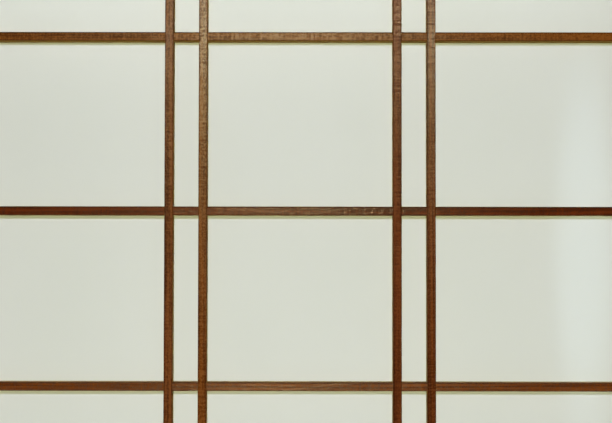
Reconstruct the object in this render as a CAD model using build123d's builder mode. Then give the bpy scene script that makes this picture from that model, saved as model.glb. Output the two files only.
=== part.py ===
from build123d import *

import os

# A pair of shoji sliding screens in their wooden frame, without the wall. Millimetres.
# +Z is up, the room is on the -Y side, and the origin is the bottom centre of the frame.

# Lattice: upright bars in close pairs, crossed by even cross bars
bar_width = 9.0  # face of a bar, as the room sees it
bar_depth = 15.0  # front to back
bar_chamfer = 0.6
pair_pitch = 35.0  # between the two bars of a pair
wide_pitch = 200.0  # between the inner bars of the two pairs
side_pane = 191.0  # clear, from a stile to the nearest bar
row_pitch = 180.0
row_count = 9
bar_tenon_length = 8.0
bar_tenon_width = 6.0
bar_tenon_depth = 9.0

# Stiles and rails around the lattice
screen_thickness = 30.0
stile_width = 36.0
top_rail_height = 45.0
bottom_rail_height = 100.0
screen_chamfer = 0.8
rail_tenon_length = 25.0
rail_tenon_thickness = 10.0
rail_tenon_shoulder = 8.0  # from the tenon to the rail's top and bottom
glue_gap = 0.1  # on each side of a tenon
mortise_end_gap = 0.5

# Paper, glued to the backs of the bars and into a rebate all round
paper_thickness = 0.3
paper_rebate_depth = 3.0
paper_lap = 5.0  # how far the rebate reaches past the clear opening
paper_edge_gap = 0.5

# Tracks: two grooves side by side in the sill and in the head
screen_gap = 3.0  # between the two screens where they pass
groove_width = 21.0
groove_side_play = 1.0
sill_groove_depth = 3.0
head_groove_depth = 15.0
head_engagement = 10.0  # how far a screen's tongue reaches above the head's underside
shoulder_gap = 0.5
running_gap = 0.3
tape_width = 18.0
tape_thickness = 0.4

# Frame: sill, head and jambs
sill_thickness = 45.0
head_thickness = 45.0
jamb_thickness = 30.0
frame_reveal = 25.5  # from a groove to the frame's room face or outer face
frame_chamfer = 1.5
housing_depth = 6.0  # how far the sill and the head enter the jambs
jamb_groove_depth = 4.0
jamb_groove_play = 0.75
closing_gap = 0.5

# Screws from the jambs into the ends of the sill and the head
screw_radius = 2.25
screw_head_radius = 4.4
screw_length = 60.0
screw_tip_length = 6.0
screw_edge_distance = 22.5
screw_clearance = 0.3
screw_seat_gap = 0.05
screw_slot_length = 5.0
screw_slot_width = 1.0
screw_slot_depth = 1.2
pilot_end_gap = 2.0

# Open holes for fixing the frame to a wall
fixing_radius = 2.5
fixing_countersink_radius = 5.0
fixing_edge_distance = 10.5
fixing_end_distance = 250.0

# Flush finger pulls in the stile next to the jamb
pull_height = 75.0
pull_width = 18.0
pull_depth = 8.0
pull_wall = 1.2
pull_rim = 2.5
pull_rim_inset = 0.8
pull_rim_proud = 0.6
pull_edge_radius = 0.4
pull_pane = 5  # which pane the pull stands beside, counted from the bottom

# Sizes that follow
clear_width = 2 * (pair_pitch + side_pane) + wide_pitch + bar_width
clear_height = row_count * row_pitch - bar_width
screen_width = clear_width + 2 * stile_width
screen_height = clear_height + top_rail_height + bottom_rail_height
tongue_thickness = groove_width - 2 * groove_side_play
opening_width = 2 * screen_width - stile_width - 2 * (jamb_groove_depth - closing_gap)
opening_height = screen_height + 2 * shoulder_gap
groove_pitch = screen_thickness + screen_gap
frame_depth = groove_pitch + groove_width + 2 * frame_reveal
frame_height = sill_thickness + opening_height + head_thickness
beam_length = opening_width + 2 * housing_depth

head_underside = sill_thickness + opening_height
screen_bottom = sill_thickness + shoulder_gap
screen_top = screen_bottom + screen_height
lattice_bottom = screen_bottom + bottom_rail_height
lattice_top = lattice_bottom + clear_height
bottom_tongue = shoulder_gap + sill_groove_depth - tape_thickness - running_gap
top_tongue = shoulder_gap + head_engagement
pull_z = lattice_bottom + (pull_pane - 0.5) * row_pitch - bar_width / 2

front_track = -groove_pitch / 2
back_track = groove_pitch / 2
closed_offset = opening_width / 2 + jamb_groove_depth - closing_gap - screen_width / 2
slide_travel = closed_offset + opening_width / 2 - closing_gap - screen_width / 2

inner_bar = wide_pitch / 2
outer_bar = wide_pitch / 2 + pair_pitch
upright_offsets = [-outer_bar, -inner_bar, inner_bar, outer_bar]
cross_heights = [lattice_bottom + row * row_pitch - bar_width / 2 for row in range(1, row_count)]

screw_ys = [-frame_depth / 2 + screw_edge_distance, frame_depth / 2 - screw_edge_distance]
sill_screw_z = (sill_thickness - sill_groove_depth) / 2
head_screw_z = frame_height - (head_thickness - head_groove_depth) / 2
pilot_depth = screw_length - jamb_thickness + housing_depth + pilot_end_gap

fixing_y = frame_depth / 2 - fixing_edge_distance
fixing_zs = [sill_thickness + fixing_end_distance, head_underside - fixing_end_distance]

os.makedirs("parts", exist_ok=True)


def save(piece, name):
    """Label a finished piece and write it to its own file."""
    piece.part.label = name
    export_step(piece.part, f"parts/{name}.step")


def lattice_bar(name, start, length, crossings, lap_side):
    """A bar that grows from its start plane, halved at each crossing on its front (-1) or its back (1)."""
    along = Axis(start.origin, start.z_dir)
    with BuildPart() as bar:
        with BuildSketch(start):
            Rectangle(bar_width, bar_depth)
        extrude(amount=length)
        chamfer(bar.edges().filter_by(along).group_by(Axis.Y)[0], bar_chamfer)
        with BuildSketch(start.offset(-bar_tenon_length)):
            Rectangle(bar_tenon_width, bar_tenon_depth)
        extrude(amount=length + 2 * bar_tenon_length)
        with Locations(start):
            with Locations(*[(0, lap_side * bar_depth / 4, crossing) for crossing in crossings]):
                Box(bar_width, bar_depth / 2, bar_width, mode=Mode.SUBTRACT)
    save(bar, name)


def rail(name, x, y, outer_z, inner_z, tongue):
    """A rail tenoned into both stiles, with a tongue on its outer edge and mortises for the upright bars."""
    inward = 1 if inner_z > outer_z else -1
    height = abs(inner_z - outer_z)
    middle_z = (outer_z + inner_z) / 2
    left_end = Plane.YZ.offset(x - clear_width / 2)
    lattice_y = y + screen_thickness / 2 - paper_rebate_depth - bar_depth / 2
    with BuildPart() as piece:
        with BuildSketch(left_end):
            with Locations((y, middle_z)):
                Rectangle(screen_thickness, height)
        extrude(amount=clear_width)
        chamfer(piece.edges().filter_by(Axis.X), screen_chamfer)
        with BuildSketch(left_end):
            with Locations((y, outer_z - inward * tongue / 2)):
                Rectangle(tongue_thickness, tongue)
        extrude(amount=clear_width)
        with BuildSketch(left_end.offset(-rail_tenon_length)):
            with Locations((y, middle_z)):
                Rectangle(rail_tenon_thickness, height - 2 * rail_tenon_shoulder)
        extrude(amount=clear_width + 2 * rail_tenon_length)
        rebate_y = y + (screen_thickness - paper_rebate_depth) / 2
        with Locations((x, rebate_y, inner_z - inward * paper_lap / 2)):
            Box(clear_width, paper_rebate_depth, paper_lap, mode=Mode.SUBTRACT)
        mortise_length = bar_tenon_length + mortise_end_gap
        mortise_z = inner_z - inward * mortise_length / 2
        with Locations(*[(x + offset, lattice_y, mortise_z) for offset in upright_offsets]):
            Box(
                bar_tenon_width + 2 * glue_gap,
                bar_tenon_depth + 2 * glue_gap,
                mortise_length,
                mode=Mode.SUBTRACT,
            )
    save(piece, name)


def pull_face(x, y, outward):
    """The plane of a stile's room face (-1) or outer face (1), centred where its pull goes."""
    origin = (x, y + outward * screen_thickness / 2, pull_z)
    return Plane(origin=origin, x_dir=(1, 0, 0), z_dir=(0, outward, 0))


def stile(name, x, y, side, has_pulls):
    """A stile on the left (-1) or the right (1) of the screen centred at x, mortised for the rails and cross bars."""
    inner_x = x + side * clear_width / 2
    middle_x = inner_x + side * stile_width / 2
    lattice_y = y + screen_thickness / 2 - paper_rebate_depth - bar_depth / 2
    with BuildPart() as piece:
        with BuildSketch(Plane.XY.offset(screen_bottom)):
            with Locations((middle_x, y)):
                Rectangle(stile_width, screen_thickness)
        extrude(amount=screen_height)
        chamfer(piece.edges().filter_by(Axis.Z), screen_chamfer)
        with BuildSketch(Plane.XY.offset(screen_bottom - bottom_tongue)):
            with Locations((middle_x, y)):
                Rectangle(stile_width, tongue_thickness)
        extrude(amount=bottom_tongue + screen_height + top_tongue)
        rebate_y = y + (screen_thickness - paper_rebate_depth) / 2
        rebate_z = (lattice_bottom + lattice_top) / 2
        with Locations((inner_x + side * paper_lap / 2, rebate_y, rebate_z)):
            Box(paper_lap, paper_rebate_depth, clear_height + 2 * paper_lap, mode=Mode.SUBTRACT)
        bar_mortise = bar_tenon_length + mortise_end_gap
        with Locations(*[(inner_x + side * bar_mortise / 2, lattice_y, z) for z in cross_heights]):
            Box(
                bar_mortise,
                bar_tenon_depth + 2 * glue_gap,
                bar_tenon_width + 2 * glue_gap,
                mode=Mode.SUBTRACT,
            )
        rail_mortise = rail_tenon_length + mortise_end_gap
        for low_z, high_z in ((screen_bottom, lattice_bottom), (lattice_top, screen_top)):
            with Locations((inner_x + side * rail_mortise / 2, y, (low_z + high_z) / 2)):
                Box(
                    rail_mortise,
                    rail_tenon_thickness + 2 * glue_gap,
                    high_z - low_z - 2 * rail_tenon_shoulder + 2 * glue_gap,
                    mode=Mode.SUBTRACT,
                )
        if has_pulls:
            for outward in (-1, 1):
                with BuildSketch(pull_face(middle_x, y, outward)):
                    SlotOverall(pull_height + 2 * glue_gap, pull_width + 2 * glue_gap, rotation=90)
                extrude(amount=-pull_depth - glue_gap, mode=Mode.SUBTRACT)
                rim_growth = 2 * (pull_rim + glue_gap)
                with BuildSketch(pull_face(middle_x, y, outward)):
                    SlotOverall(pull_height + rim_growth, pull_width + rim_growth, rotation=90)
                extrude(amount=-pull_rim_inset, mode=Mode.SUBTRACT)
    save(piece, name)


def pull(name, x, y, outward):
    """A dished oblong cup with a thin rim, let into a stile's room face (-1) or outer face (1)."""
    face = pull_face(x, y, outward)
    with BuildPart() as cup:
        with BuildSketch(face):
            SlotOverall(pull_height, pull_width, rotation=90)
        extrude(amount=-pull_depth)
        with BuildSketch(face.offset(-pull_rim_inset)):
            SlotOverall(pull_height + 2 * pull_rim, pull_width + 2 * pull_rim, rotation=90)
        extrude(amount=pull_rim_inset + pull_rim_proud)
        with BuildSketch(face.offset(pull_rim_proud)):
            SlotOverall(pull_height - 2 * pull_wall, pull_width - 2 * pull_wall, rotation=90)
        extrude(amount=-(pull_rim_proud + pull_depth - pull_wall), mode=Mode.SUBTRACT)
        rim_face = cup.faces().filter_by(Axis.Y).sort_by(Axis.Y)[-1 if outward > 0 else 0]
        fillet(rim_face.edges(), pull_edge_radius)
    save(cup, name)


def paper(name, x, y):
    """The paper sheet, glued to the backs of the bars and inside the rebate."""
    front_y = y + screen_thickness / 2 - paper_rebate_depth
    sheet_width = clear_width + 2 * (paper_lap - paper_edge_gap)
    sheet_height = clear_height + 2 * (paper_lap - paper_edge_gap)
    with BuildPart() as sheet:
        with BuildSketch(Plane.XY.offset(lattice_bottom - paper_lap + paper_edge_gap)):
            with Locations((x, front_y + paper_thickness / 2)):
                Rectangle(sheet_width, paper_thickness)
        extrude(amount=sheet_height)
    save(sheet, name)


def screen(place, x, y, pull_side):
    """One whole screen centred at x in the track at y, with its pulls on the left (-1) or right (1) stile."""
    lattice_y = y + screen_thickness / 2 - paper_rebate_depth - bar_depth / 2
    upright_laps = [z - lattice_bottom for z in cross_heights]
    for number, offset in enumerate(upright_offsets, start=1):
        foot = Plane(origin=(x + offset, lattice_y, lattice_bottom))
        lattice_bar(f"{place}_upright_bar_{number}", foot, clear_height, upright_laps, 1)
    cross_laps = [clear_width / 2 + offset for offset in upright_offsets]
    for number, z in enumerate(cross_heights, start=1):
        left_end = Plane(origin=(x - clear_width / 2, lattice_y, z), x_dir=(0, 0, -1), z_dir=(1, 0, 0))
        lattice_bar(f"{place}_cross_bar_{number}", left_end, clear_width, cross_laps, -1)
    rail(f"{place}_bottom_rail", x, y, screen_bottom, lattice_bottom, bottom_tongue)
    rail(f"{place}_top_rail", x, y, screen_top, lattice_top, top_tongue)
    stile(f"{place}_left_stile", x, y, -1, pull_side == -1)
    stile(f"{place}_right_stile", x, y, 1, pull_side == 1)
    paper(f"{place}_paper", x, y)
    pull_x = x + pull_side * (clear_width + stile_width) / 2
    pull(f"{place}_room_pull", pull_x, y, -1)
    pull(f"{place}_outer_pull", pull_x, y, 1)


def beam(name, middle_z, thickness, groove_z, groove_depth, screw_z):
    """The sill or the head: one length of wood with the two grooves and a pilot hole for each screw."""
    left_end = Plane.YZ.offset(-beam_length / 2)
    with BuildPart() as piece:
        with BuildSketch(left_end):
            with Locations((0, middle_z)):
                Rectangle(frame_depth, thickness)
            with Locations((front_track, groove_z), (back_track, groove_z)):
                Rectangle(groove_width, groove_depth, mode=Mode.SUBTRACT)
        extrude(amount=beam_length)
        corner_edges = piece.edges().filter_by(Axis.X).sort_by(Axis.Y)
        chamfer(corner_edges[:2] + corner_edges[-2:], frame_chamfer)
        for end, inward in ((-1, 1), (1, -1)):
            with BuildSketch(Plane.YZ.offset(end * beam_length / 2)):
                with Locations(*[(y, screw_z) for y in screw_ys]):
                    Circle(screw_radius + screw_seat_gap)
            extrude(amount=inward * pilot_depth, mode=Mode.SUBTRACT)
    save(piece, name)


def jamb(name, side, track_y):
    """The left (-1) or right (1) jamb, housed for the sill and head, with the groove its screen shuts into."""
    inner_x = side * opening_width / 2
    outer_x = inner_x + side * jamb_thickness
    outer_face = Plane(origin=(outer_x, 0, 0), x_dir=(0, 1, 0), z_dir=(side, 0, 0))
    inner_face = Plane(origin=(inner_x, 0, 0), x_dir=(0, 1, 0), z_dir=(-side, 0, 0))
    with BuildPart() as piece:
        with BuildSketch(Plane.XY):
            with Locations(((inner_x + outer_x) / 2, 0)):
                Rectangle(jamb_thickness, frame_depth)
        extrude(amount=frame_height)
        inner_edges = piece.edges().filter_by(Axis.Z).sort_by(Axis.X)
        chamfer(inner_edges[:2] if side > 0 else inner_edges[-2:], frame_chamfer)
        housing_x = inner_x + side * housing_depth / 2
        with Locations((housing_x, 0, sill_thickness / 2)):
            Box(housing_depth, frame_depth, sill_thickness, mode=Mode.SUBTRACT)
        with Locations((housing_x, 0, head_underside + head_thickness / 2)):
            Box(housing_depth, frame_depth, head_thickness, mode=Mode.SUBTRACT)
        groove_x = inner_x + side * jamb_groove_depth / 2
        with Locations((groove_x, track_y, sill_thickness + opening_height / 2)):
            Box(
                jamb_groove_depth,
                screen_thickness + 2 * jamb_groove_play,
                opening_height,
                mode=Mode.SUBTRACT,
            )
        with Locations(outer_face):
            with Locations(*[(y, side * z) for y in screw_ys for z in (sill_screw_z, head_screw_z)]):
                CounterSinkHole(
                    screw_radius + screw_clearance,
                    screw_head_radius + screw_seat_gap,
                    counter_sink_angle=90,
                )
        with Locations(inner_face):
            with Locations(*[(y, -side * z) for y in (-fixing_y, fixing_y) for z in fixing_zs]):
                CounterSinkHole(fixing_radius, fixing_countersink_radius, counter_sink_angle=90)
    save(piece, name)


def slide_tape(name, y):
    """A thin strip that lines the bottom of a sill groove."""
    with BuildPart() as tape:
        with BuildSketch(Plane.XY.offset(sill_thickness - sill_groove_depth)):
            with Locations((0, y)):
                Rectangle(opening_width, tape_width)
        extrude(amount=tape_thickness)
    save(tape, name)


def frame_screw():
    """A countersunk wood screw with its head's flat at the origin and its point down."""
    head_height = screw_head_radius - screw_radius
    with BuildPart() as screw:
        with BuildSketch(Plane.XZ):
            with BuildLine():
                Polyline(
                    (0, 0),
                    (screw_head_radius, 0),
                    (screw_radius, -head_height),
                    (screw_radius, screw_tip_length - screw_length),
                    (0, -screw_length),
                    close=True,
                )
            make_face()
        revolve(axis=Axis.Z)
        with Locations((0, 0, -screw_slot_depth / 2)):
            Box(screw_slot_length, screw_slot_width, screw_slot_depth, mode=Mode.SUBTRACT)
            Box(screw_slot_width, screw_slot_length, screw_slot_depth, mode=Mode.SUBTRACT)
    return screw.part


def frame_screws(name):
    """Two screws at each corner of the frame, driven from the jambs' outer faces."""
    screw = frame_screw()
    places = []
    for side in (-1, 1):
        for y in screw_ys:
            for z in (sill_screw_z, head_screw_z):
                x = side * (opening_width / 2 + jamb_thickness)
                places.append(Location((x, y, z), (0, side * 90, 0)))
    with BuildPart() as screws:
        with Locations(*places):
            add(screw)
    save(screws, name)


beam(
    "sill",
    sill_thickness / 2,
    sill_thickness,
    sill_thickness - sill_groove_depth / 2,
    sill_groove_depth,
    sill_screw_z,
)
beam(
    "head",
    head_underside + head_thickness / 2,
    head_thickness,
    head_underside + head_groove_depth / 2,
    head_groove_depth,
    head_screw_z,
)
jamb("left_jamb", -1, back_track)
jamb("right_jamb", 1, front_track)
slide_tape("front_slide_tape", front_track)
slide_tape("back_slide_tape", back_track)
frame_screws("frame_screws")
screen("front", closed_offset, front_track, 1)
screen("back", -closed_offset, back_track, -1)

print("frame", opening_width + 2 * jamb_thickness, frame_depth, frame_height)
print("opening", opening_width, opening_height)
print("screen", screen_width, screen_height, "closed at", closed_offset, "travel", slide_travel)
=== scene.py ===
# %% [markdown]
# # A pair of shoji screens, finished and lit
# A shoji is a light wooden frame with a lattice of thin bars, and one sheet of paper pasted on the
# lattice's back. Here two of them slide past each other between a grooved sill and head. The solids are
# already made and stay as they are. This lesson gives them their finishes, replaces the two flat
# sheets of paper by real ones, and sets up the camera and the lamps.
#
# The wood is the same on every stick, but no two sticks are alike, so one recipe makes a finish of its
# own for each piece, with its own grain, tone and polish.

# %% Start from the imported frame
import math
import random

import bpy
from mathutils import Matrix, Vector, noise


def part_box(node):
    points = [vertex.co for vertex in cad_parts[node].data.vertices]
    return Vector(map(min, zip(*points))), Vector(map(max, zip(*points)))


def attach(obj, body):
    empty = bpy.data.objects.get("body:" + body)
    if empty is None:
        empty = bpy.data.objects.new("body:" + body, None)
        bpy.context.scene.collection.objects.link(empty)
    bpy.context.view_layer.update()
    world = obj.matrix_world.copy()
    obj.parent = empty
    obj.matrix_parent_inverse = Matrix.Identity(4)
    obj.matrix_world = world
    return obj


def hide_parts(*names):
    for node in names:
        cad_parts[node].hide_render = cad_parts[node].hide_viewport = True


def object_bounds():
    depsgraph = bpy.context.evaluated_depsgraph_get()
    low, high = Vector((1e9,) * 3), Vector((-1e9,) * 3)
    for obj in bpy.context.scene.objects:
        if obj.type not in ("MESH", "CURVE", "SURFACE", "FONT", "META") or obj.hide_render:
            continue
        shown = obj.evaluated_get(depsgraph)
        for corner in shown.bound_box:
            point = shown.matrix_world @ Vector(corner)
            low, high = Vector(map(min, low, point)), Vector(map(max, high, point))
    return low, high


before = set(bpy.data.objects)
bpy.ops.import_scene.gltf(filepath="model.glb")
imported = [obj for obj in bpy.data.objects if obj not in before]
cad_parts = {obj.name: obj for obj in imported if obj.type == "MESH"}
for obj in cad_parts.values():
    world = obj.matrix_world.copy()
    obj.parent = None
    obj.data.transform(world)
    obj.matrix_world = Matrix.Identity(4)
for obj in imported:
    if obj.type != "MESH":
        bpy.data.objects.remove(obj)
cad_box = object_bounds()

MM = 0.001
PLACES = ("front", "back")
print("pieces from the frame:", len(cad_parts))

# %% [markdown]
# ## Where the pieces are
# Every place is read from the frame. The front screen is the one on the room side. The point of
# view and the lamps are then given from its lattice: the middle of its four uprights, the sixth cross
# bar from the bottom, and the plane of the bars' faces.

# %% Places in the lattice
UPRIGHTS = range(1, 5)
CROSS_BARS = range(1, 9)
MIDDLE_BAR, NEXT_BAR_DOWN = "front_cross_bar_6", "front_cross_bar_5"


def middle(node):
    """The middle of a piece's box."""
    low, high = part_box(node)
    return (Vector(low) + Vector(high)) / 2


lattice_x = sum(middle(f"front_upright_bar_{n}").x for n in UPRIGHTS) / len(UPRIGHTS)
lattice_z = middle(MIDDLE_BAR).z
lattice_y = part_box(MIDDLE_BAR)[0][1]
print("lattice point, in metres:", round(lattice_x, 4), round(lattice_y, 4), round(lattice_z, 4))


def from_lattice(right, ahead, up):
    """A place in metres, given in millimetres from the lattice point; ahead is towards the room."""
    return Vector((lattice_x + right * MM, lattice_y - ahead * MM, lattice_z + up * MM))


# %% [markdown]
# ## Camera
# The picture is a close, straight-on view of the front screen, from a little over 1.5 m. The
# camera looks up by two degrees, which is why the undersides of the upper cross bars show as a thin line
# and the uprights lean together by a pixel or two. Its focal length is given in pixels of a picture
# 612 pixels wide, and the lens follows from it.

# %% Camera
PICTURE_WIDTH = 612
FOCAL_PIXELS = 1554
SENSOR_WIDTH = 36
CAMERA_RIGHT, CAMERA_AHEAD, CAMERA_UP = 11.6, 1595, -56.5
PITCH, YAW, ROLL = math.radians(2.008), math.radians(0.195), math.radians(-0.077)

camera_place = from_lattice(CAMERA_RIGHT, CAMERA_AHEAD, CAMERA_UP)
bpy.ops.object.camera_add()
camera = bpy.context.object
camera.name = "camera"
camera.data.sensor_width = SENSOR_WIDTH
camera.data.lens = SENSOR_WIDTH * FOCAL_PIXELS / PICTURE_WIDTH
camera.matrix_world = (
    Matrix.Translation(camera_place)
    @ Matrix.Rotation(YAW, 4, "Z")
    @ Matrix.Rotation(math.pi / 2 + PITCH, 4, "X")
    @ Matrix.Rotation(-ROLL, 4, "Z")
)
bpy.context.scene.camera = camera
print("camera at", [round(v, 3) for v in camera_place], "lens", round(camera.data.lens, 1), "mm")

# %% [markdown]
# ## Shader maths as plain expressions
# A finish is a small network of nodes, and most of it is arithmetic. Wrapping an output socket in a
# class with Python's operators lets a line such as `pores * 0.4 + fibres` add its own Math nodes. Every
# node comes from one method, which takes the node's type, its settings and the values or links of its
# sockets. The short methods after it only spare that method's longer words.


# %% Wire: an output socket with operators
class Wire:
    """An output socket that + - and * turn into Math nodes."""

    def __init__(self, net, socket):
        self.net = net
        self.socket = socket

    def __add__(self, other):
        return self.net.maths("ADD", self, other)

    def __sub__(self, other):
        return self.net.maths("SUBTRACT", self, other)

    def __rsub__(self, other):
        return self.net.maths("SUBTRACT", other, self)

    def __mul__(self, other):
        return self.net.maths("MULTIPLY", self, other)

    __radd__ = __add__
    __rmul__ = __mul__


# %% Net: a network and its nodes
class Net:
    """A node network: of a material, or of the world."""

    def __init__(self, owner):
        owner.use_nodes = True
        self.tree = owner.node_tree
        self.tree.nodes.clear()

    def add(self, kind, settings, sockets, out=0):
        """Adds a node, applies its settings, then sets or links its sockets, and gives one output."""
        node = self.tree.nodes.new(kind)
        for key, value in settings.items():
            setattr(node, key, value)
        for key, value in sockets.items():
            if isinstance(value, Wire):
                self.tree.links.new(value.socket, node.inputs[key])
            else:
                node.inputs[key].default_value = value
        return Wire(self, node.outputs[out]) if node.outputs else None

    def maths(self, operation, *values):
        """A Math node on one or two values."""
        return self.add("ShaderNodeMath", {"operation": operation}, dict(enumerate(values)))

    def vectors(self, operation, *values, out="Vector"):
        """A Vector Math node on one or two places."""
        return self.add("ShaderNodeVectorMath", {"operation": operation}, dict(enumerate(values)), out)

    def part(self, place, axis):
        """One of the X, Y and Z of a place."""
        return self.add("ShaderNodeSeparateXYZ", {}, {"Vector": place}, axis)

    def size_of(self, value):
        """The value without its sign."""
        return self.maths("ABSOLUTE", value)

    def object_place(self):
        """Where a point of the surface is, on Object coordinates."""
        return self.add("ShaderNodeTexCoord", {}, {}, "Object")

    def ray(self, kind):
        """1 for a ray of this kind, and 0 for any other."""
        return self.add("ShaderNodeLightPath", {}, {}, kind)

    def noise(self, place, stretch, detail=2.0):
        """Noise from 0 to 1 whose spots are 1 / stretch metres along each axis."""
        scaled = self.vectors("MULTIPLY", place, stretch)
        return self.add("ShaderNodeTexNoise", {}, {"Vector": scaled, "Scale": 1.0, "Detail": detail})

    def ease(self, value, low, high, start=0.0, end=1.0):
        """A soft step of value, from start at low to end at high."""
        return self.add(
            "ShaderNodeMapRange",
            {"interpolation_type": "SMOOTHSTEP"},
            {"Value": value, "From Min": low, "From Max": high, "To Min": start, "To Max": end},
        )

    def blend(self, factor, first, second):
        """Mixes two colours."""
        sockets = {"Factor": factor, 6: first, 7: second}
        return self.add("ShaderNodeMix", {"data_type": "RGBA"}, sockets, out=2)

    def relief(self, height, strength, depth):
        """A bump, on which a height of 1 stands depth metres proud."""
        return self.add("ShaderNodeBump", {}, {"Height": height, "Strength": strength, "Distance": depth})

    def polished(self, sockets):
        """The main shader, with the sockets that this finish sets."""
        return self.add("ShaderNodeBsdfPrincipled", {}, sockets)

    def show(self, surface):
        """Ends the network of a material."""
        self.add("ShaderNodeOutputMaterial", {}, {"Surface": surface})


def new_finish(name):
    """A material and its empty network."""
    finish = bpy.data.materials.new(name)
    return finish, Net(finish)


def rgb(red, green, blue):
    """A colour as a socket takes it, with its alpha."""
    return (red, green, blue, 1)


# %% [markdown]
# ## Lamps
# The light is rebuilt from what it does in the picture. A small lamp above and behind the camera is the
# key, which throws the narrow shadow under each cross bar. A second lamp at the same place is seen only
# in gloss, and its gleam runs along the bars, so shadow and gleam can be set apart. A fill lamp on the
# camera's own line lifts the shadows and makes none that show. Its light is warm where the key's is
# cool, so the shadow lines look yellow beside the paper. A high and a low spot make the paper a little
# lighter at the top and at the bottom of the picture, and a narrow one gives the faint cool band near
# its right edge. Lamps beside, above and behind light the other sides and glow faintly through the sheet.
#
# Each lamp is given a level instead of a power: at level 1 a matte surface that squarely faces the lamp
# shows in the colour that it is written with.

# %% Lamp helper
# A spot needs four times a panel's watts for the same light on its axis.
SPOT_SHARE = 4


def add_lamp(kind, name, place, aim, radius, level, colour, glossy=True, stretch=1.0):
    """A lamp that points at aim, out of the camera's sight; stretch widens it level."""
    bpy.ops.object.light_add(type=kind, location=place)
    lamp = bpy.context.object
    lamp.name = name
    reach = Vector(aim) - Vector(place)
    lamp.rotation_euler = reach.to_track_quat("-Z", "Y").to_euler()
    power = level * (math.pi * reach.length) ** 2
    if kind == "AREA":
        lamp.data.shape = "ELLIPSE"
        lamp.data.size = 2 * radius * stretch
        lamp.data.size_y = 2 * radius
        lamp.data.energy = power
    else:
        lamp.data.shadow_soft_size = radius
        lamp.data.energy = SPOT_SHARE * power
    lamp.data.color = colour
    lamp.visible_camera = False
    lamp.visible_glossy = glossy
    print("lamp", name, round(reach.length, 2), "m away,", round(lamp.data.energy), "W")
    return lamp


# %% Key, gleam and fill
KEY_RIGHT, KEY_AHEAD, KEY_UP = -45, 2700, 628
FILL_AHEAD = 3600

lattice_point = from_lattice(0, 0, 0)
key_place = from_lattice(KEY_RIGHT, KEY_AHEAD, KEY_UP)
fill_place = from_lattice(CAMERA_RIGHT, FILL_AHEAD, CAMERA_UP)

ROOM_LAMPS = (
    # name, place, radius, level, colour, seen in gloss, stretch
    ("key_lamp", key_place, 0.08, 0.55, (0.97, 1.0, 1.52), False, 1.0),
    ("gleam_lamp", key_place, 0.07, 0.55, (1.0, 0.99, 0.48), True, 2.4),
    ("fill_lamp", fill_place, 0.15, 0.60, (1.02, 1.0, 0.56), False, 1.0),
)
for name, lamp_place, *facts in ROOM_LAMPS:
    lamp = add_lamp("AREA", name, lamp_place, lattice_point, *facts)
    lamp.visible_diffuse = name != "gleam_lamp"

# %% A high and a low wash of light
WASH_RADIUS = 0.08
WASH_LIGHT = (1.0, 1.0, 1.03)
WASHES = (
    # name, place, aim, cone in degrees, softness of its edge, level, seen in gloss
    ("high_wash", key_place, from_lattice(-70, 0, 1300), 49.7, 0.164, 0.2, True),
    ("low_wash", fill_place, from_lattice(0, 0, -400), 19.0, 1.0, 0.085, False),
)
for name, wash_place, aim, cone, softness, level, in_gloss in WASHES:
    wash = add_lamp("SPOT", name, wash_place, aim, WASH_RADIUS, level, WASH_LIGHT, in_gloss)
    wash.data.spot_size = math.radians(cone)
    wash.data.spot_blend = softness

# %% [markdown]
# The band is a spot whose cone is squeezed from a circle to a tall ellipse, by scaling the lamp along
# its own X. A long narrow panel with a narrow spread would give the same band, but it renders unevenly.

# %% A band of daylight
BAND_RIGHT, BAND_AHEAD, BAND_UP = 295, 2400, -42
BAND_HALF_WIDTH, BAND_HALF_HEIGHT = 41, 240
BAND_RADIUS = 0.01
BAND_LEVEL = 0.175
BAND_LIGHT = (0.80, 1.02, 1.36)

band_place = from_lattice(BAND_RIGHT, BAND_AHEAD, BAND_UP)
band_aim = from_lattice(BAND_RIGHT, 0, BAND_UP)
band = add_lamp("SPOT", "band_lamp", band_place, band_aim, BAND_RADIUS, BAND_LEVEL, BAND_LIGHT, False)
band.data.spot_size = 2 * math.atan(BAND_HALF_HEIGHT / BAND_AHEAD)
band.data.spot_blend = 1.0
band.scale.x = BAND_HALF_WIDTH / BAND_HALF_HEIGHT

# %% Lamps beside, above and behind
SIDE_REACH, SIDE_HEIGHT = 3.4, 2.2
BEHIND = 0.9
AIM_BEHIND = BEHIND / 3
SOFT_RADIUS = 0.6
SIDE_LIGHT = (1, 0.98, 0.95)
middle_height = (cad_box[0].z + cad_box[1].z) / 2
side_aim = (0, AIM_BEHIND, middle_height)

SOFT_LAMPS = (
    # name, place, aim, level, colour
    ("left_lamp", (-SIDE_REACH, BEHIND, SIDE_HEIGHT), side_aim, 0.8, SIDE_LIGHT),
    ("right_lamp", (SIDE_REACH, BEHIND, SIDE_HEIGHT), side_aim, 0.8, SIDE_LIGHT),
    ("top_lamp", (0, BEHIND, 4.4), (0, AIM_BEHIND, 1.8), 0.6, (1, 0.99, 0.97)),
    ("back_lamp", (0.5, 4.0, 2.4), (0, 0, 1.1), 0.45, (1, 0.95, 0.86)),
)
for name, lamp_place, aim, level, colour in SOFT_LAMPS:
    add_lamp("AREA", name, lamp_place, aim, SOFT_RADIUS, level, colour)

# %% [markdown]
# ## World and floor
# The room in front of the screens is dim, or the lacquered bars would look milky, and the space behind
# them is brighter. The camera sees a pale background on every side. Reflections see it on the far
# side only. The floor is a plain pale plane that passes into the same even tone as it goes away, and
# still keeps the object's shadow near the screens. It gives back little light to them, because more
# would lift the shadows.

# %% World
PALE = 0.86
ROOM_SIDE_LIGHT = 0.04
FAR_SIDE_LIGHT = 0.38
SIDES_MEET = 0.15

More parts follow.
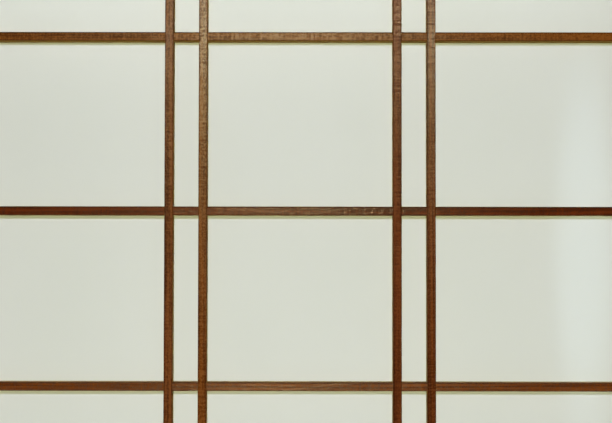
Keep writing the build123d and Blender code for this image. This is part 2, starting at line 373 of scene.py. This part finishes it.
world = bpy.data.worlds.new("pale_room")
bpy.context.scene.world = world
net = Net(world)
direction = net.add("ShaderNodeTexCoord", {}, {}, "Generated")
far_side = net.ease(net.part(direction, "Y"), -SIDES_MEET, SIDES_MEET)
room_light = far_side * (FAR_SIDE_LIGHT - ROOM_SIDE_LIGHT) + ROOM_SIDE_LIGHT
room_light = room_light + net.ray("Is Glossy Ray") * far_side * (PALE - FAR_SIDE_LIGHT)
by_camera = net.ray("Is Camera Ray")
strength = by_camera * PALE + (1 - by_camera) * room_light
background = net.add("ShaderNodeBackground", {}, {"Color": rgb(1, 1, 1), "Strength": strength})
net.add("ShaderNodeOutputWorld", {}, {"Surface": background})
print("light from the room side", ROOM_SIDE_LIGHT, "and from the far side", FAR_SIDE_LIGHT)

# %% Floor
FLOOR_SIZE = 40
FLOOR_COLOUR = rgb(0.54, 0.535, 0.525)
FLOOR_GIVEN_BACK = rgb(0.10, 0.098, 0.095)
FADE_START, FADE_END = 0.9, 3.3
NEAR_GLOW = 0.5

bpy.ops.object.select_all(action="DESELECT")
bpy.ops.mesh.primitive_plane_add(size=FLOOR_SIZE, location=(0, 0, cad_box[0].z))
floor = bpy.context.object
floor.name = "floor"
floor_finish, net = new_finish("pale_floor")
by_camera = net.ray("Is Camera Ray")
away = net.vectors("LENGTH", net.object_place(), out="Value")
fade = net.ease(away, FADE_START, FADE_END, NEAR_GLOW, 1.0)
floor_colour = net.blend(by_camera, FLOOR_GIVEN_BACK, FLOOR_COLOUR)
lit = net.add("ShaderNodeBsdfDiffuse", {}, {"Color": floor_colour})
even = net.add("ShaderNodeEmission", {}, {"Color": rgb(PALE, PALE, PALE), "Strength": 1.0})
net.show(net.add("ShaderNodeMixShader", {}, {0: by_camera * fade, 1: lit, 2: even}))
floor.data.materials.append(floor_finish)
print("floor", FLOOR_SIZE, "m wide, even from", FADE_END, "m on")

# %% [markdown]
# ## Stained wood
# The sticks are a straight-grained wood, planed, stained a dark reddish brown and lightly lacquered, so
# that the pores stay open. Wood is a solid, and so is the recipe. Growth rings are distances from
# a pith that lies outside the stick, bent a little by slow noise. On the long faces the rings come
# out as streaks, and on the end grain as arcs. Fine fibres, short dark pores, and the ripples, flecks
# and shallow figure left by the plane lie over them.

# %% Patterns in the wood
# Spots for each metre along X, Y and Z of a stick, whose Z is its grain.
BEND_SCALE = (9, 9, 1.3)
STRAND_SCALE = (520, 520, 9)
FIBRE_SCALE = (1500, 1500, 28)
PORE_SCALE = (1300, 1300, 150)
PATCH_SCALE = (16, 16, 14)
RIPPLE_SCALE = (70, 70, 560)
FLECK_SCALE = (560, 560, 460)
FIGURE_SCALE = (400, 400, 160)
RING_BEND = 6 * MM
SHIFTS = (1, 9)
PITH_ASIDE, PITH_NEAREST, PITH_FARTHEST = 0.05, 0.05, 0.12
PORE_EASE = (0.58, 0.70)
PATCH_EASE = (0.38, 0.62, 0.35, 1.0)
MARK_STRENGTH = 1.6


class Grain:
    """The patterns inside one stick; ring is the gap between growth rings in mm."""

    def __init__(self, net, node, upright, ring, seed):
        draw = random.Random(seed)
        turn = (0, 0 if upright else math.pi / 2, 0)
        self.place = net.add(
            "ShaderNodeMapping",
            {"vector_type": "TEXTURE"},
            {"Vector": net.object_place(), "Location": middle(node), "Rotation": turn},
        )
        shift = Vector([draw.uniform(*SHIFTS) for _ in range(3)])
        aside = draw.uniform(-PITH_ASIDE, PITH_ASIDE)
        pith = Vector((aside, draw.uniform(PITH_NEAREST, PITH_FARTHEST), 0))
        grained = net.vectors("ADD", self.place, shift)

        bend = net.noise(grained, BEND_SCALE, detail=1) - 0.5
        arm = net.vectors("SUBTRACT", net.vectors("MULTIPLY", self.place, (1, 1, 0)), pith)
        reach = net.vectors("LENGTH", arm, out="Value")
        self.rings = net.add(
            "ShaderNodeTexNoise",
            {"noise_dimensions": "1D"},
            {"W": (reach + bend * RING_BEND) * (1 / (ring * MM)) + seed, "Scale": 1.0, "Detail": 3.0},
        )
        self.strands = net.noise(grained, STRAND_SCALE)
        self.fibres = net.noise(grained, FIBRE_SCALE)
        self.pores = net.ease(net.noise(grained, PORE_SCALE, detail=1), *PORE_EASE)
        patch = net.ease(net.noise(grained, PATCH_SCALE, detail=1), *PATCH_EASE)
        ripples = (net.noise(grained, RIPPLE_SCALE, detail=1) - 0.5) * patch
        flecks = net.noise(grained, FLECK_SCALE, detail=1) - 0.5
        self.plane_marks = ripples * MARK_STRENGTH + flecks * MARK_STRENGTH
        self.figure = net.noise(grained, FIGURE_SCALE, detail=1)


# %% [markdown]
# A stick isn't the same all round. Its colour is darker along its four long edges, where some stain
# gathers and the rest is painted shade. On the lattice's bars the stain hardly took on the two sides,
# and their golden colour is partly painted light, the paper's light thrown back on them. The upper edge
# of a level stick is darker, a painted shade, and dull. Each of these is a mask made from the distance
# to the stick's middle.

# %% Edges and sides of a stick
# Distances in from the stick's faces, between which each mask eases off.
EDGE_NEAR, EDGE_FAR = 0.5 * MM, 1.7 * MM
FLANK_NEAR, FLANK_FAR = 0.02 * MM, 0.12 * MM
UPPER_SHADE_NEAR, UPPER_SHADE_FAR = 0.5 * MM, 1.8 * MM
# How dark the painted shade on a level stick's upper edge is.
UPPER_SHADE_SHARE = 0.55


def stick_masks(net, place, half, upright):
    """Masks of the long edges, of the two sides, and of a level stick's upper edge, for painted shade and
    light.
    """
    half_across = half.x if upright else half.z
    sides = net.vectors("ABSOLUTE", place)
    across, inward = net.part(sides, "X"), net.part(sides, "Y")
    edge = net.ease(across, half_across - EDGE_FAR, half_across - EDGE_NEAR) * net.ease(
        inward, half.y - EDGE_FAR, half.y - EDGE_NEAR
    )
    flank = net.ease(across, half_across - FLANK_FAR, half_across - FLANK_NEAR)
    upper_shade_share = 0.0 if upright else UPPER_SHADE_SHARE
    downward = net.part(place, "X")
    upper_edge_shade = net.ease(downward, UPPER_SHADE_NEAR - half_across, UPPER_SHADE_FAR - half_across, upper_shade_share, 0.0)
    return edge, flank, upper_edge_shade


# %% [markdown]
# The lacquer is a thin clear coat over a soft sheen, and both are broken up by the marks of the plane.
# On the screens' sticks the sheen follows the fibres, so a gleam is drawn out across the grain. That is
# the shader's anisotropy, turned a quarter for a piece whose grain runs level. The outer frame is a
# little duller, and its sheen is the same in every direction.

# %% Wood recipe
# The darkest stain, for the pores, and also the painted shade on the long edges and on a level stick's
# upper edge.
DARK_STAIN_AND_SHADE = rgb(0.030, 0.006, 0.0010)
# The sides' golden colour: thinner stain, and painted light that stands in for the paper's light thrown
# back on them.
FLANK_STAIN_AND_GLOW = rgb(0.42, 0.255, 0.066)
SHEEN_TINT = rgb(1.0, 0.74, 0.76)
STREAK_EASE = (0.36, 0.64)
DARKEST, LIGHTEST = 0.5, 1.55
BAR_MARKS, OTHER_MARKS = 0.9, 0.5
PORE_STAIN, EDGE_STAIN_AND_SHADE, BARE_AND_LIT_FLANK = 0.45, 0.4, 0.7
GREEN_POWER, BLUE_POWER = 1.15, 1.2
# How far rings, strands and fibres make the streaks.
RING_SHARE, STRAND_SHARE, FIBRE_SHARE = 0.4, 0.4, 0.2
# How much pores, strands, edges, sides and upper edges dull the wood under the coat.
PORE_DULL, STRAND_DULL, EDGE_DULL, FLANK_DULL, UPPER_SHADE_DULL = 0.1, 0.12, 0.2, 0.35, 0.4
FIBRE_RISE, PORE_SINK = 0.15, 0.3
MARK_REACH, EDGE_WEAR = 0.25, 0.2
COAT_ROUGHNESS = 0.29
DRAWN_OUT = 0.85
QUARTER_TURN = 0.25
RELIEF_DEPTH = 0.22 * MM
# How much the plane's marks change the polish, the relief, the figure in it, and the coat.
MARKS = {"Z": (0.14, 0.5, 0.3, 0.7), "X": (0.3, 0.2, 1.5, 0.55)}


def stain_tone(stain, share):
    """The stain's colour, darker or lighter; green and blue change a little more than red."""
    return rgb(stain[0] * share, stain[1] * share**GREEN_POWER, stain[2] * share**BLUE_POWER)


def stained_wood(node, grain, stain, coat, sheen, polish, ring, seed):
    """The finish of one stick; grain is its long axis."""
    upright = grain == "Z"
    in_lattice = "_bar_" in node
    low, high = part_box(node)
    half = (Vector(high) - Vector(low)) / 2
    finish, net = new_finish("wood_" + node)
    wood = Grain(net, node, upright, ring, seed)
    edge, flank, upper_edge_shade = stick_masks(net, wood.place, half, upright)
    glint, wave, figured, patchy = MARKS[grain]
    bare_and_lit = BARE_AND_LIT_FLANK if in_lattice else 0.0

    streaks = wood.rings * RING_SHARE + wood.strands * STRAND_SHARE + wood.fibres * FIBRE_SHARE
    streak = net.ease(streaks, *STREAK_EASE)
    depth = streak + wood.plane_marks * (BAR_MARKS if in_lattice else OTHER_MARKS)
    colour = net.blend(depth, stain_tone(stain, DARKEST), stain_tone(stain, LIGHTEST))
    colour = net.blend(wood.pores * PORE_STAIN, colour, DARK_STAIN_AND_SHADE)
    # Painted light on the sides of the lattice's bars, over their thinner stain.
    colour = net.blend(flank * bare_and_lit, colour, FLANK_STAIN_AND_GLOW)
    # Painted shade along the long edges, over the stain that gathers there.
    colour = net.blend(edge * (1 - flank) * EDGE_STAIN_AND_SHADE, colour, DARK_STAIN_AND_SHADE)
    # Painted shade on the upper edge of a level stick.
    colour = net.blend(upper_edge_shade * (1 - flank), colour, DARK_STAIN_AND_SHADE)

    dull = polish + wood.pores * PORE_DULL + (wood.strands - 0.5) * STRAND_DULL
    dull = dull - wood.plane_marks * glint + edge * EDGE_DULL + flank * FLANK_DULL + upper_edge_shade * UPPER_SHADE_DULL
    height = wood.fibres * FIBRE_RISE + wood.plane_marks * wave
    height = height + wood.figure * figured - wood.pores * PORE_SINK
    thin, thick = (1 - patchy) * coat, (1 + patchy) * coat
    lacquer = net.ease(wood.plane_marks - edge * EDGE_WEAR, -MARK_REACH, MARK_REACH, thin, thick)
    net.show(
        net.polished(
            {
                "Base Color": colour,
                "Roughness": dull,
                "Normal": net.relief(height, 1.0, RELIEF_DEPTH),
                "Specular IOR Level": sheen,
                "Specular Tint": SHEEN_TINT,
                "Anisotropic": DRAWN_OUT if node.startswith(PLACES) else 0.0,
                "Anisotropic Rotation": 0.0 if upright else QUARTER_TURN,
                "Coat Weight": lacquer * (1 - flank * bare_and_lit) * (1 - upper_edge_shade),
                "Coat Roughness": COAT_ROUGHNESS,
            }
        )
    )
    return finish


def dress(node, finish):
    """Puts a finish on every slot of a piece from the frame."""
    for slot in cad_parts[node].material_slots:
        slot.material = finish


# %% [markdown]
# ## The lattice's sticks
# Sticks from different boards take the stain differently. Those in the picture are given by name. Of
# the uprights, the second and the fourth have the stronger coat. Of the cross bars, the middle one in
# the picture, the sixth from below, is darker and redder. The stain, coat and sheen of all the other
# sticks are drawn by chance, around one common stain.

# %% Stains by name and by chance
STAIN = (0.098, 0.026, 0.0046)
IN_PICTURE = {
    # piece: stain, coat, sheen
    "front_upright_bar_1": ((0.088, 0.0255, 0.0058), 0.10, 0.04),
    "front_upright_bar_2": ((0.0985, 0.0270, 0.0034), 0.24, 0.04),
    "front_upright_bar_3": ((0.071, 0.0160, 0.0033), 0.08, 0.06),
    "front_upright_bar_4": ((0.0775, 0.0169, 0.0023), 0.23, 0.08),
    "front_cross_bar_7": ((0.099, 0.0275, 0.0030), 0.12, 0.0),
    "front_cross_bar_6": ((0.062, 0.0090, 0.0007), 0.12, 0.15),
    "front_cross_bar_5": ((0.099, 0.0238, 0.0032), 0.135, 0.37),
}
STAIN_SEED = 11
TONES, WARMTHS = (0.84, 1.12), (0.85, 1.18)
COATS, SHEENS = (0.06, 0.28), (0.03, 0.2)
# Roughness under the coat, and the gap between growth rings in mm.
BAR_WOOD, STILE_WOOD, RAIL_WOOD, FRAME_WOOD = (0.26, 2.2), (0.30, 3.0), (0.30, 3.4), (0.36, 3.6)

draw = random.Random(STAIN_SEED)
finished = []


def finish_stick(node, grain, wood):
    """Gives one stick a finish of its own."""
    tone, warmth = draw.uniform(*TONES), draw.uniform(*WARMTHS)
    by_chance = (
        (STAIN[0] * tone, STAIN[1] * tone * warmth, STAIN[2] * tone * warmth**1.5),
        draw.uniform(*COATS),
        draw.uniform(*SHEENS),
    )
    stain, coat, sheen = IN_PICTURE.get(node, by_chance)
    finished.append(node)
    dress(node, stained_wood(node, grain, stain, coat, sheen, *wood, seed=len(finished)))


# %% Finish the lattice, the screens' frames and the outer frame
for place in PLACES:
    for number in UPRIGHTS:
        finish_stick(f"{place}_upright_bar_{number}", "Z", BAR_WOOD)
    for number in CROSS_BARS:
        finish_stick(f"{place}_cross_bar_{number}", "X", BAR_WOOD)
    for stile in ("left_stile", "right_stile"):
        finish_stick(f"{place}_{stile}", "Z", STILE_WOOD)
    for rail in ("top_rail", "bottom_rail"):
        finish_stick(f"{place}_{rail}", "X", RAIL_WOOD)
for node, grain in (("sill", "X"), ("head", "X"), ("left_jamb", "Z"), ("right_jamb", "Z")):
    finish_stick(node, grain, FRAME_WOOD)
print("sticks finished:", len(finished))

# %% [markdown]
# ## Paper
# Shoji paper is a thin white sheet with faint fibres. It takes most of its light from the room and lets
# some through from behind, so the finish mixes a plain matte surface with a translucent one. Its
# pulp lies a little unevenly, like very faint clouds.
#
# The bars that it is pasted on show as a faint trace from behind: painted shade where they keep the
# light from coming through. Beside them, a thin yellowish line is painted shade as well. Both are
# drawn from the distance to the nearest bar. The two screens are alike and stand at equal distances
# from the middle, so one pattern does for both.

# %% Pulp of the paper
PAPER_WHITE = rgb(0.672, 0.690, 0.622)
PAPER_THIN = rgb(0.652, 0.672, 0.598)
CLOUD_SCALE = (7, 7, 4)
LONG_FIBRE_SCALE = (420, 420, 38)
CROSS_FIBRE_SCALE = (46, 420, 380)
PULP_SCALE = (1800, 1800, 1800)
CLOUD_EASE, LONG_FIBRE_EASE, CROSS_FIBRE_EASE = (0.3, 0.7), (0.60, 0.72), (0.62, 0.74)
CLOUD_SHARE, GRIT_SHARE, FIBRES_SHARE = 0.7, 0.15, 0.25

paper_finish, net = new_finish("shoji_paper")
sheet_place = net.object_place()
clouds = net.ease(net.noise(sheet_place, CLOUD_SCALE, detail=3), *CLOUD_EASE)
long_fibres = net.ease(net.noise(sheet_place, LONG_FIBRE_SCALE), *LONG_FIBRE_EASE)
cross_fibres = net.ease(net.noise(sheet_place, CROSS_FIBRE_SCALE), *CROSS_FIBRE_EASE)
fibres = long_fibres * 0.5 + cross_fibres * 0.5
grit = net.noise(sheet_place, PULP_SCALE, detail=1)
pulp = clouds * CLOUD_SHARE + grit * GRIT_SHARE + fibres * FIBRES_SHARE
sheet_colour = net.blend(pulp, PAPER_THIN, PAPER_WHITE)

# %% Distance to the nearest bar
# The rows are counted from this far under the middle bar, halfway between two bars.
ROWS_BELOW = 5.5

screen_middle = abs(lattice_x)
third, fourth = middle("front_upright_bar_3").x, middle("front_upright_bar_4").x
pair_middle = (fourth + third) / 2 - lattice_x
pair_half = (fourth - third) / 2
row = lattice_z - middle(NEXT_BAR_DOWN).z
bar_low, bar_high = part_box("front_upright_bar_4")
bar_half = (bar_high[0] - bar_low[0]) / 2

from_middle = net.size_of(net.part(sheet_place, "X"))
from_pairs = net.size_of(from_middle - screen_middle) - pair_middle
from_upright = net.size_of(net.size_of(from_pairs) - pair_half)
rows_up = (net.part(sheet_place, "Z") - (lattice_z - row * ROWS_BELOW)) * (1 / row)
from_cross_bar = net.size_of(net.maths("FRACT", rows_up) - 0.5) * row
near = net.maths("MINIMUM", from_upright, from_cross_bar)
print("a pair is", round(pair_half * 2, 4), "m wide and a row", round(row, 4), "m high")

# %% Paper finish
# Painted shade: the bars' trace, seen through the sheet from behind, and a thin line at the foot of each
# bar.
PAINTED_BAR_SHADE = rgb(0.26, 0.18, 0.11)
FRINGE_SHADE = rgb(0.66, 0.65, 0.40)
TRACE_SHARE, TRACE_BLUR = 0.17, 0.6 * MM
FRINGE_SHADE_SHARE, FRINGE_SHADE_REACH = 0.4, 1.6 * MM
LET_THROUGH = 0.28
PAPER_ROUGHNESS, GRIT_DULL = 0.62, 0.1
PAPER_SHEEN = 0.04
FIBRES_RISE, GRIT_RISE = 0.6, 0.4
RELIEF_SHARE, PAPER_RELIEF = 0.25, 0.02 * MM

# Painted shade where the bars keep the light from coming through the sheet.
bar_shade_trace = net.ease(near, bar_half - TRACE_BLUR, bar_half + TRACE_BLUR, TRACE_SHARE, 0.0)
# Painted shade: a thin yellowish line on the sheet just beside each bar.
fringe_shade = net.ease(near, bar_half, bar_half + FRINGE_SHADE_REACH, FRINGE_SHADE_SHARE, 0.0)
fringe_shade = fringe_shade * net.ease(near, bar_half - MM, bar_half)
colour = net.blend(bar_shade_trace, net.blend(fringe_shade, sheet_colour, FRINGE_SHADE), PAINTED_BAR_SHADE)
relief = net.relief(fibres * FIBRES_RISE + grit * GRIT_RISE, RELIEF_SHARE, PAPER_RELIEF)
matte = net.polished(
    {
        "Base Color": colour,
        "Roughness": PAPER_ROUGHNESS + grit * GRIT_DULL,
        "Normal": relief,
        "Specular IOR Level": PAPER_SHEEN,
    }
)
glow = net.add("ShaderNodeBsdfTranslucent", {}, {"Color": colour, "Normal": relief})
net.show(net.add("ShaderNodeMixShader", {}, {0: LET_THROUGH, 1: matte, 2: glow}))
print("the paper lets", LET_THROUGH, "of the light through")

# %% [markdown]
# ## The two sheets
# The paper is pasted to the back of every bar and to the rebate all round, and shrinks tight as the paste
# dries. In each pane it is free to belly by a fraction of a millimetre, so it is a fine grid,
# stood up in edit mode, held flat on the bars and eased out between them, and then given its
# thickness. The flat solid that it replaces stays for collision.

# %% Sheet helpers
CELL = 9 * MM
BELLY = 0.3 * MM
BELLY_FULLNESS = 0.7
PAPER_THICKNESS = 0.3 * MM
WAVE_SCALE = 9
WAVE_LEAST, WAVE_SWING = 0.65, 0.35
SMOOTH_BELOW = math.radians(30)


def bands(place, kind, numbers, axis):
    """Where the bars press on the sheet along one axis, as (low, high) pairs."""
    boxes = [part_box(f"{place}_{kind}_{n}") for n in numbers]
    return sorted((low[axis], high[axis]) for low, high in boxes)


def swell(value, pressed, low, high):
    """0 on a bar and outside low to high, and a smooth hill between two bars."""
    edges = [(low, low)] + list(pressed) + [(high, high)]
    for (_, start), (end, _) in zip(edges, edges[1:]):
        if start < value < end:
            return math.sin(math.pi * (value - start) / (end - start)) ** BELLY_FULLNESS
    return 0.0


# %% A flat grid in the place of one sheet
def standing_grid(name, low, high):
    """A grid that fills the box from low to high, on the box's face towards the bars."""
    width, height = high.x - low.x, high.z - low.z
    bpy.ops.object.select_all(action="DESELECT")
    bpy.ops.mesh.primitive_grid_add(
        x_subdivisions=round(width / CELL), y_subdivisions=round(height / CELL), size=1
    )
    sheet = bpy.context.object
    sheet.name = name
    bpy.ops.object.mode_set(mode="EDIT")
    bpy.ops.transform.resize(value=(width, height, 1))
    bpy.ops.transform.rotate(value=math.pi / 2, orient_axis="X", center_override=(0, 0, 0))
    bpy.ops.transform.translate(value=((low.x + high.x) / 2, low.y, (low.z + high.z) / 2))
    bpy.ops.object.mode_set(mode="OBJECT")
    return sheet, (width, height)


# %% Belly and thickness
def ease_out(sheet, place, seed):
    """Moves the sheet's points away from the bars in each pane, and holds them flat on the bars."""
    uprights = bands(place, "upright_bar", UPRIGHTS, 0)
    cross_bars = bands(place, "cross_bar", CROSS_BARS, 2)
    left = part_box(f"{place}_left_stile")[1][0]
    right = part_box(f"{place}_right_stile")[0][0]
    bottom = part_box(f"{place}_bottom_rail")[1][2]
    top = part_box(f"{place}_top_rail")[0][2]
    for vertex in sheet.data.vertices:
        x, y, z = vertex.co
        free = swell(x, uprights, left, right) * swell(z, cross_bars, bottom, top)
        wave = WAVE_LEAST + WAVE_SWING * noise.noise(Vector((x * WAVE_SCALE, z * WAVE_SCALE, seed)))
        vertex.co.y = y + BELLY * free * wave


def thicken(sheet):
    """Gives the sheet its thickness, away from the bars, and turns its faces outwards."""
    solidify = sheet.modifiers.new("thickness", "SOLIDIFY")
    solidify.thickness = PAPER_THICKNESS
    faces_room = sheet.data.polygons[0].normal.y < 0
    solidify.offset = -1 if faces_room else 1
    bpy.ops.object.modifier_apply(modifier=solidify.name)
    bpy.ops.object.shade_smooth_by_angle(angle=SMOOTH_BELOW)
    bpy.ops.object.mode_set(mode="EDIT")
    bpy.ops.mesh.select_all(action="SELECT")
    bpy.ops.mesh.normals_make_consistent(inside=False)
    bpy.ops.object.mode_set(mode="OBJECT")


def paper_sheet(place, seed):
    """One screen's sheet of paper, pasted on the back of its lattice."""
    low, high = (Vector(corner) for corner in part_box(f"{place}_paper"))
    sheet, flat = standing_grid(f"{place}_paper_sheet", low, high)
    ease_out(sheet, place, seed)
    thicken(sheet)
    sheet.data.materials.append(paper_finish)
    return sheet, flat


for number, place in enumerate(PLACES):
    sheet, flat = paper_sheet(place, seed=number)
    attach(sheet, f"{place}_screen")
    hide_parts(f"{place}_paper")
    held_by = [f"{place}_upright_bar_{n}" for n in UPRIGHTS]
    held_by += [f"{place}_cross_bar_{n}" for n in CROSS_BARS]
    held_by += [f"{place}_{part}" for part in ("left_stile", "right_stile", "top_rail", "bottom_rail")]
    ys = [vertex.co.y for vertex in sheet.data.vertices]
    print(sheet.name, len(sheet.data.polygons), "faces, y from", round(min(ys), 5), "to", round(max(ys), 5))

# %% [markdown]
# ## Finger pulls
# A flush pull is a shallow metal cup, lacquered almost black. The lacquer is fine and a little mottled,
# and fingers have rubbed it through to a brown bronze in places.

# %% Pull finish
LACQUER_DARK, LACQUER_LIGHT = rgb(0.007, 0.006, 0.0055), rgb(0.018, 0.013, 0.010)
BRONZE = rgb(0.085, 0.046, 0.022)
MOTTLE_SCALE, BRUSH_SCALE, RUB_SCALE = (260, 260, 260), (2200, 2200, 70), (330, 330, 120)
RUB_EASE = (0.56, 0.68)
BRONZE_SHARE, METAL_SHARE = 0.45, 0.5
PULL_ROUGHNESS, BRUSH_DULL, RUB_DULL = 0.30, 0.12, 0.1
PULL_RELIEF_SHARE, PULL_RELIEF = 0.3, 0.03 * MM

pull_finish, net = new_finish("lacquered_pull")
pull_place = net.object_place()
mottle = net.noise(pull_place, MOTTLE_SCALE, detail=3)
brushed = net.noise(pull_place, BRUSH_SCALE)
rubbed = net.ease(net.noise(pull_place, RUB_SCALE, detail=3), *RUB_EASE)
lacquer = net.blend(mottle, LACQUER_DARK, LACQUER_LIGHT)
net.show(
    net.polished(
        {
            "Base Color": net.blend(rubbed * BRONZE_SHARE, lacquer, BRONZE),
            "Metallic": rubbed * METAL_SHARE,
            "Roughness": PULL_ROUGHNESS + brushed * BRUSH_DULL + rubbed * RUB_DULL,
            "Normal": net.relief(brushed * 0.5 + mottle * 0.5, PULL_RELIEF_SHARE, PULL_RELIEF),
        }
    )
)
pulls = [f"{place}_{side}_pull" for place in PLACES for side in ("room", "outer")]
for pull in pulls:
    dress(pull, pull_finish)
print("pulls finished:", len(pulls))

# %% [markdown]
# ## Slide tape and screws
# The tape in the sill's grooves is a hard waxy strip that the screens glide on. It is brown like the
# wood, with fine marks along the track. The screws are plain steel with a thin yellow plating.

# %% Tape finish
TAPE_DARK, TAPE_LIGHT = rgb(0.11, 0.045, 0.019), rgb(0.19, 0.086, 0.038)
SCUFFED = rgb(0.30, 0.19, 0.12)
TRACK_SCALE, SCUFF_SCALE = (3.5, 900, 900), (26, 1300, 300)
SCUFF_EASE, SCUFF_SHARE = (0.58, 0.72), 0.4
TAPE_ROUGHNESS, TRACK_DULL = 0.24, 0.3

tape_finish, net = new_finish("slide_tape")
tape_place = net.object_place()
tracks = net.noise(tape_place, TRACK_SCALE, detail=3)
scuffs = net.ease(net.noise(tape_place, SCUFF_SCALE), *SCUFF_EASE)
tape_colour = net.blend(scuffs * SCUFF_SHARE, net.blend(tracks, TAPE_DARK, TAPE_LIGHT), SCUFFED)
tape_roughness = TAPE_ROUGHNESS + tracks * TRACK_DULL
net.show(net.polished({"Base Color": tape_colour, "Roughness": tape_roughness}))
for place in PLACES:
    dress(f"{place}_slide_tape", tape_finish)
print("tapes finished:", len(PLACES))

# %% Screw finish
PLATING_DARK, PLATING_LIGHT = rgb(0.46, 0.42, 0.30), rgb(0.60, 0.56, 0.42)
TURNED_SCALE = (900, 900, 900)
PLATING_ROUGHNESS, TURNED_DULL = 0.28, 0.2

screw_finish, net = new_finish("plated_steel")
turned = net.noise(net.object_place(), TURNED_SCALE)
plating = net.blend(turned, PLATING_DARK, PLATING_LIGHT)
plating_roughness = PLATING_ROUGHNESS + turned * TURNED_DULL
net.show(net.polished({"Base Color": plating, "Metallic": 1.0, "Roughness": plating_roughness}))
dress("frame_screws", screw_finish)
print("screws finished with", screw_finish.name)

# %% [markdown]
# ## View settings and the box of the solids
# The Standard view shows colours as they are written. The box of the solids is printed at the end.

# %% Finish
bpy.context.scene.view_settings.view_transform = "Standard"

print("box of the solids", [[round(v, 4) for v in corner] for corner in cad_box])
